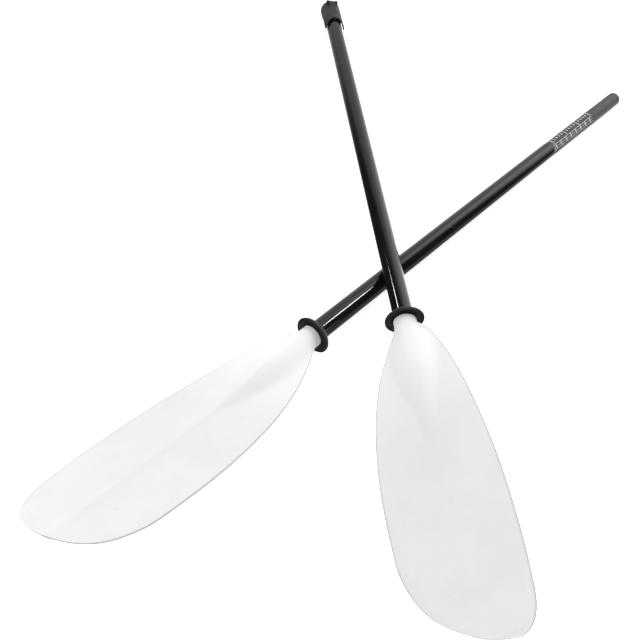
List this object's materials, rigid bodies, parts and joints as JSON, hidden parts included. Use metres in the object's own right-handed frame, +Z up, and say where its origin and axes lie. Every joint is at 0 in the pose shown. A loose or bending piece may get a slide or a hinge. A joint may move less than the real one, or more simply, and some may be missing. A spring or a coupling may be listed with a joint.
{
  "type": "kayak paddle",
  "caption": "Two-piece adjustable kayak paddle taken apart, halves crossed: white dihedral blades, black shafts, rubber drip rings, a scaled male ferrule and a socket with a lever clamp.",
  "frame": {"origin": "middle of the bottom of the box round both halves, on the floor they lie on", "axes": "+Z up from the floor, +Y along the right half from its blade towards its socket, seen from above; the left half points 49.5 degrees from +Y towards +X"},
  "size_m": [1.0916, 1.269, 0.1243],
  "materials": {
    "blade": "translucent white polypropylene, satin",
    "shaft": "gloss black lacquered aluminium tube",
    "rubber": "matt black rubber",
    "foam": "closed-cell foam",
    "ferrule": "satin dark grey glass-filled plastic",
    "clamp": "matt dark grey moulded plastic",
    "scale": "grey film with a white printed scale",
    "steel": "stainless steel"
  },
  "bodies": {
    "left_half": {"left_blade": "blade", "left_shaft": "shaft", "left_float_plug": "foam", "left_neck_rivet": "steel", "male_ferrule": "ferrule", "scale_sleeve": "scale", "ferrule_end_cap": "rubber"},
    "left_ring": {"left_drip_ring": "rubber"},
    "right_half": {"right_blade": "blade", "right_shaft": "shaft", "right_float_plug": "foam", "right_neck_rivet": "steel", "clamp_housing": "clamp", "lever_pivot_pin": "steel", "socket_wiper": "rubber", "housing_rivet_left": "steel", "housing_rivet_right": "steel"},
    "right_ring": {"right_drip_ring": "rubber"},
    "lever": {"clamp_lever": "clamp"},
    "pad": {"pressure_pad": "rubber"}
  },
  "joints": [
    {"name": "right_half_lift", "type": "slide", "parent": "left_half", "child": "right_half", "axis": [0, 0, 1], "range_m": [0, 0.15]},
    {"name": "left_ring_slide", "type": "slide", "parent": "left_half", "child": "left_ring", "axis": [0.7608, 0.6488, -0.0159], "range_m": [0, 0.1]},
    {"name": "right_ring_slide", "type": "slide", "parent": "right_half", "child": "right_ring", "axis": [0, 0.9987, -0.0508], "range_m": [0, 0.05]},
    {"name": "lever_hinge", "type": "hinge", "parent": "right_half", "child": "lever", "pos_m": [-0.05155, 0.62565, 0.04056], "axis": [-1, 0, 0], "range_deg": [0, 85]},
    {"name": "pad_slide", "type": "slide", "parent": "right_half", "child": "pad", "axis": [0, 0.0508, 0.9987], "range_m": [0, 0.0006]}
  ],
  "couplings": [
    {"joint": "pad_slide", "follows": "lever_hinge", "m_per_rad": 0.000404}
  ]
}
